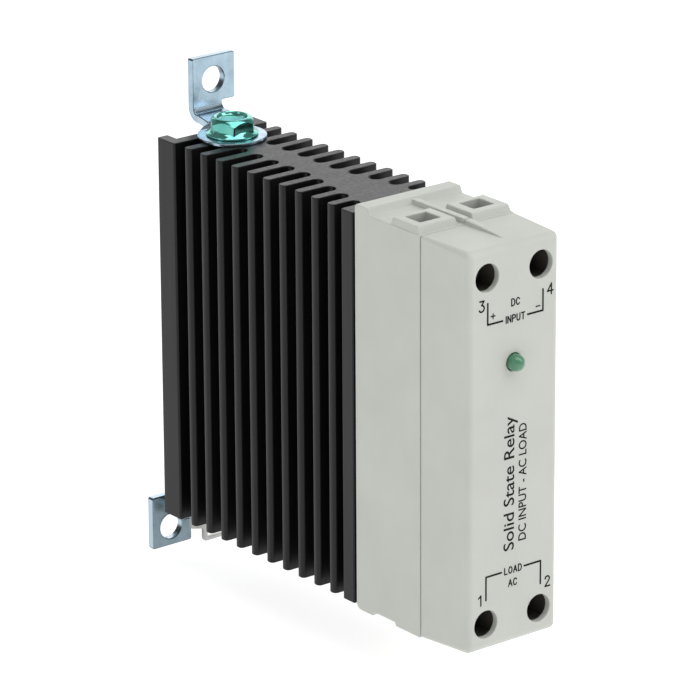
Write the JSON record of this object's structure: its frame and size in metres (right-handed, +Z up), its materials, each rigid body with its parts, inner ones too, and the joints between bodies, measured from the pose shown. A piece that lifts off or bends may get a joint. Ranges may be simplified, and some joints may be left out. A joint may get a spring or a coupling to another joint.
{
  "type": "solid state relay",
  "caption": "Slim solid state relay: pale grey terminal housing on a black finned heat sink, with bent zinc brackets, a green hex ground screw and a rail latch behind",
  "frame": {"origin": "a point on the back face of the upper bracket's tab, midway between its hole and its top edge", "axes": "+X right seen from the front, +Y from the front face into the panel, +Z up"},
  "size_m": [0.0226, 0.1011, 0.0991],
  "materials": {
    "anodised_aluminium": "black anodised extrusion, matt, cut ends slightly lighter",
    "housing_plastic": "light grey moulded thermoplastic, fine matt texture",
    "black_moulding": "black moulded thermoplastic, in shadow behind the screwdriver holes",
    "printing_ink": "dark grey pad-printed ink on the front face",
    "lamp_lens": "green diffused epoxy lamp body",
    "board_laminate": "green solder resist on glass laminate",
    "black_epoxy": "moulded black epoxy",
    "tan_resistor": "tan coating",
    "blue_coating": "blue epoxy coating",
    "red_film": "red epoxy box",
    "thermal_silicone": "grey thermal interface",
    "white_ceramic": "white alumina",
    "silicon": "dark passivated silicon",
    "plated_steel": "nickel plated steel",
    "tinned_copper": "tinned copper alloy strip",
    "zinc_sheet": "bright bluish zinc plated sheet steel",
    "green_zinc": "green passivated zinc plated steel",
    "stainless_sheet": "dull stainless spring steel sheet"
  },
  "bodies": {
    "relay": {"heat_sink": "anodised_aluminium", "housing_base": "housing_plastic", "front_cover": "housing_plastic", "terminal_block_upper": "black_moulding", "terminal_block_lower": "black_moulding", "status_led": "lamp_lens", "control_board": "board_laminate", "optocoupler": "black_epoxy", "trigger_resistor": "tan_resistor", "snubber_resistor": "blue_coating", "snubber_capacitor": "red_film", "varistor": "blue_coating", "thermal_pad": "thermal_silicone", "power_substrate": "white_ceramic", "thyristor_die_a": "silicon", "thyristor_die_b": "silicon", "terminal_bar_1": "tinned_copper", "terminal_bar_2": "tinned_copper", "terminal_bar_3": "tinned_copper", "terminal_bar_4": "tinned_copper", "housing_screw_lower": "plated_steel", "housing_screw_upper": "plated_steel", "upper_bracket": "zinc_sheet", "ground_screw": "green_zinc", "lower_bracket": "zinc_sheet", "lower_bracket_screw": "plated_steel", "rail_hook": "stainless_sheet", "rail_hook_screw": "plated_steel", "latch_spring": "plated_steel"},
    "screw_1": {"terminal_screw_1": "plated_steel"},
    "clamp_1": {"clamp_cage_1": "plated_steel"},
    "screw_2": {"terminal_screw_2": "plated_steel"},
    "clamp_2": {"clamp_cage_2": "plated_steel"},
    "screw_3": {"terminal_screw_3": "plated_steel"},
    "clamp_3": {"clamp_cage_3": "plated_steel"},
    "screw_4": {"terminal_screw_4": "plated_steel"},
    "clamp_4": {"clamp_cage_4": "plated_steel"},
    "latch": {"rail_latch": "stainless_sheet"}
  },
  "joints": [
    {"name": "clamp_1_rise", "type": "slide", "parent": "relay", "child": "clamp_1", "axis": [0, -1, 0], "range_m": [0, 0.0034]},
    {"name": "terminal_screw_1_turn", "type": "hinge", "parent": "relay", "child": "screw_1", "pos_m": [-0.0114, -0.0888, -0.0836], "axis": [0, 1, 0], "range_deg": [0, 2045]},
    {"name": "clamp_2_rise", "type": "slide", "parent": "relay", "child": "clamp_2", "axis": [0, -1, 0], "range_m": [0, 0.0034]},
    {"name": "terminal_screw_2_turn", "type": "hinge", "parent": "relay", "child": "screw_2", "pos_m": [0.0012, -0.0888, -0.0836], "axis": [0, 1, 0], "range_deg": [0, 2045]},
    {"name": "clamp_3_rise", "type": "slide", "parent": "relay", "child": "clamp_3", "axis": [0, -1, 0], "range_m": [0, 0.0034]},
    {"name": "terminal_screw_3_turn", "type": "hinge", "parent": "relay", "child": "screw_3", "pos_m": [-0.0114, -0.0888, -0.01645], "axis": [0, 1, 0], "range_deg": [0, 2045]},
    {"name": "clamp_4_rise", "type": "slide", "parent": "relay", "child": "clamp_4", "axis": [0, -1, 0], "range_m": [0, 0.0034]},
    {"name": "terminal_screw_4_turn", "type": "hinge", "parent": "relay", "child": "screw_4", "pos_m": [0.0012, -0.0888, -0.01645], "axis": [0, 1, 0], "range_deg": [0, 2045]},
    {"name": "rail_latch_slide", "type": "slide", "parent": "relay", "child": "latch", "axis": [0, 0, -1], "range_m": [0, 0.004], "stiffness_N_per_m": 400, "springref_m": -0.002, "deforming": ["latch_spring"]}
  ],
  "couplings": [
    {"joint": "terminal_screw_1_turn", "follows": "clamp_1_rise", "rad_per_m": 10472},
    {"joint": "terminal_screw_2_turn", "follows": "clamp_2_rise", "rad_per_m": 10472},
    {"joint": "terminal_screw_3_turn", "follows": "clamp_3_rise", "rad_per_m": 10472},
    {"joint": "terminal_screw_4_turn", "follows": "clamp_4_rise", "rad_per_m": 10472}
  ]
}
